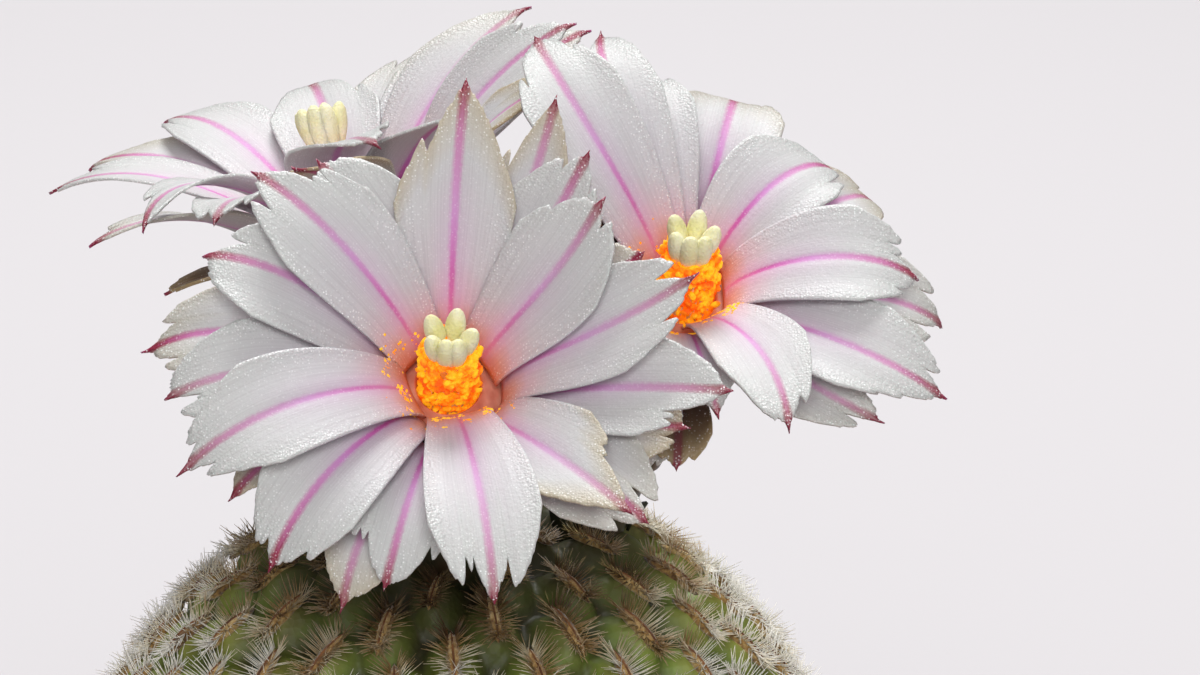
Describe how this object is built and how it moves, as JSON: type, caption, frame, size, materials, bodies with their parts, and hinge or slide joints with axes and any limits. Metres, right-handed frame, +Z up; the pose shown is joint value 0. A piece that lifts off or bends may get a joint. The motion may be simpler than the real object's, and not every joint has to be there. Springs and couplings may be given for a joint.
{
  "type": "potted round cactus",
  "caption": "Small globular cactus with comb-like spines and three open pale flowers, growing in gritty soil in a plain round clay pot.",
  "frame": {"origin": "centre of the pot's underside, which is the centre of the bounding box's bottom face", "axes": "+Z up along the pot's axis; -Y towards the side that the front flower faces; +X to the right seen from there"},
  "size_m": [0.068, 0.068, 0.104],
  "materials": {
    "terracotta": "matte",
    "potting_soil": "matte",
    "cactus_skin": "matte",
    "floral_tube": "satin",
    "petal": "satin",
    "pollen": "matte",
    "stigma": "matte"
  },
  "bodies": {
    "root": {"terracotta_pot": "terracotta", "potting_soil": "potting_soil", "cactus_stem": "cactus_skin", "front_floral_tube": "floral_tube", "front_stamens": "pollen", "front_pistil": "stigma", "front_petal_01": "petal", "front_petal_02": "petal", "front_petal_03": "petal", "front_petal_04": "petal", "front_petal_05": "petal", "front_petal_06": "petal", "front_petal_07": "petal", "front_petal_08": "petal", "front_petal_09": "petal", "front_petal_10": "petal", "front_petal_11": "petal", "front_petal_12": "petal", "front_petal_13": "petal", "front_petal_14": "petal", "front_petal_15": "petal", "front_petal_16": "petal", "front_petal_17": "petal", "front_petal_18": "petal", "front_petal_19": "petal", "front_petal_20": "petal", "front_petal_21": "petal", "right_floral_tube": "floral_tube", "right_stamens": "pollen", "right_pistil": "stigma", "right_petal_01": "petal", "right_petal_02": "petal", "right_petal_03": "petal", "right_petal_04": "petal", "right_petal_05": "petal", "right_petal_06": "petal", "right_petal_07": "petal", "right_petal_08": "petal", "right_petal_09": "petal", "right_petal_10": "petal", "right_petal_11": "petal", "right_petal_12": "petal", "right_petal_13": "petal", "left_floral_tube": "floral_tube", "left_stamens": "pollen", "left_pistil": "stigma", "left_petal_01": "petal", "left_petal_02": "petal", "left_petal_03": "petal", "left_petal_04": "petal", "left_petal_05": "petal", "left_petal_06": "petal", "left_petal_07": "petal", "left_petal_08": "petal", "left_petal_09": "petal", "left_petal_10": "petal", "left_petal_11": "petal", "left_petal_12": "petal", "left_petal_13": "petal"}
  },
  "joints": []
}
